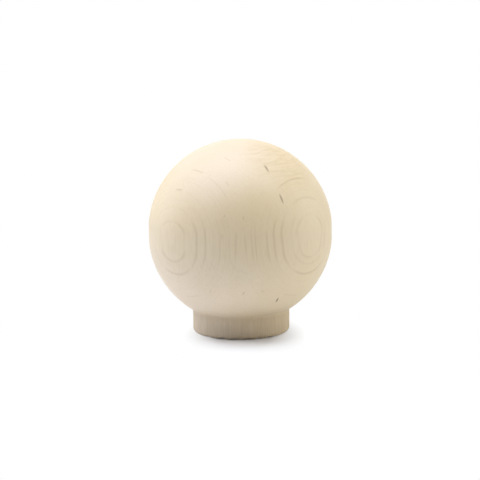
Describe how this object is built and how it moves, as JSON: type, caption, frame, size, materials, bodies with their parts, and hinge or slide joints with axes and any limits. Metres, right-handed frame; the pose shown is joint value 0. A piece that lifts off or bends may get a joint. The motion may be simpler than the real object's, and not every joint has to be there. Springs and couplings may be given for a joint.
{
  "type": "cabinet knob",
  "caption": "Ball-shaped cabinet knob turned from pale raw wood, on a short straight foot with a blind pilot hole for the mounting screw.",
  "frame": {"origin": "centre of the foot's face, which sits on the door or drawer front", "axes": "+Z along the turning axis and the wood's fibres, from the foot's face up through the ball; the shape is round about Z, so X and Y may turn freely"},
  "size_m": [0.0376, 0.0376, 0.04],
  "materials": {
    "raw_birch": "sanded, unfinished"
  },
  "bodies": {
    "root": {"knob": "raw_birch"}
  },
  "joints": []
}
